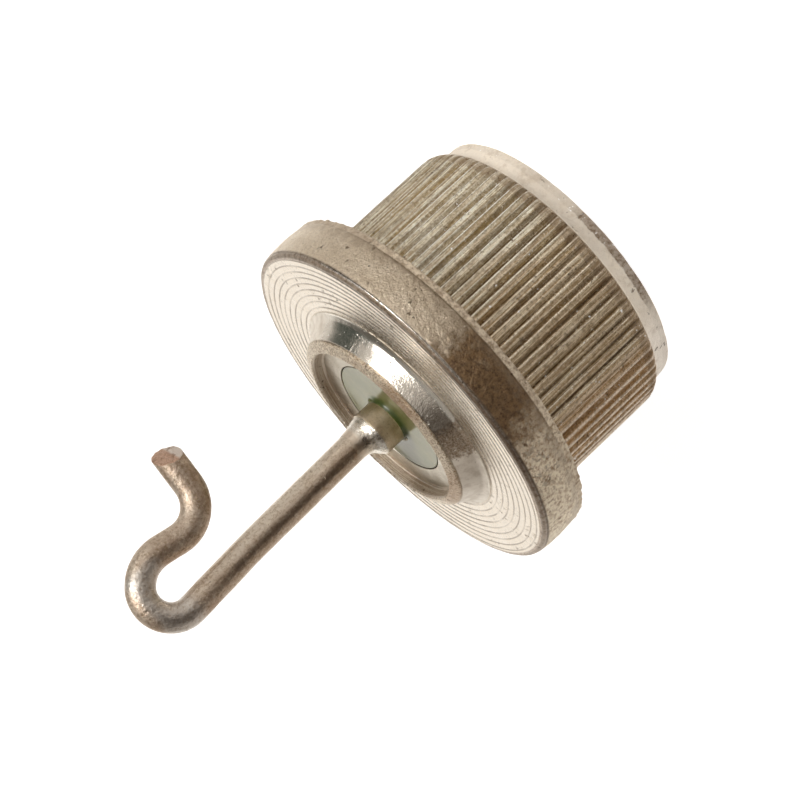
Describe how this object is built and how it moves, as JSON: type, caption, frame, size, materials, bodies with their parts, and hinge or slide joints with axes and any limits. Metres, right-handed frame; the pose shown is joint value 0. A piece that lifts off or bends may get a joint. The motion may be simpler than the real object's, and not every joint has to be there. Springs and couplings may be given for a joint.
{
  "type": "press-fit rectifier diode",
  "caption": "Press-fit power diode: knurled metal cup with a seating flange, a swaged glass-to-metal seal and a tube-mounted wire lead ending in a soldering hook.",
  "frame": {"origin": "centre of the cup's flat rear face", "axes": "+Z along the cup's axis towards the hook; the hook lies in the XZ plane with its eye bulging towards +X"},
  "size_m": [0.0156, 0.0156, 0.022],
  "materials": {
    "plated_copper": "worn warm-grey nickel plate over copper, finely pitted, turned face, burnished neck",
    "soft_metal": "dull soft metal",
    "header_steel": "satin plated steel",
    "seal_glass": "cloudy pale green sealing glass",
    "terminal_tube": "satin grey-brown plated steel",
    "tinned_wire": "dull tinned copper",
    "solder": "bright solder",
    "bare_copper": "clean drawn copper",
    "molybdenum": "lapped grey metal",
    "silicon": "polished dark silicon",
    "silicone_rubber": "milky silicone rubber"
  },
  "bodies": {
    "root": {"knurled_case": "plated_copper", "seal_washer": "soft_metal", "header_ring": "header_steel", "glass_seal": "seal_glass", "terminal_tube": "terminal_tube", "lead_wire": "tinned_wire", "lead_solder": "solder", "inner_lead": "bare_copper", "foot_solder": "solder", "upper_disc": "molybdenum", "die_solder_upper": "solder", "silicon_die": "silicon", "die_solder_lower": "solder", "lower_disc": "molybdenum", "base_solder": "solder", "junction_coating": "silicone_rubber"}
  },
  "joints": []
}
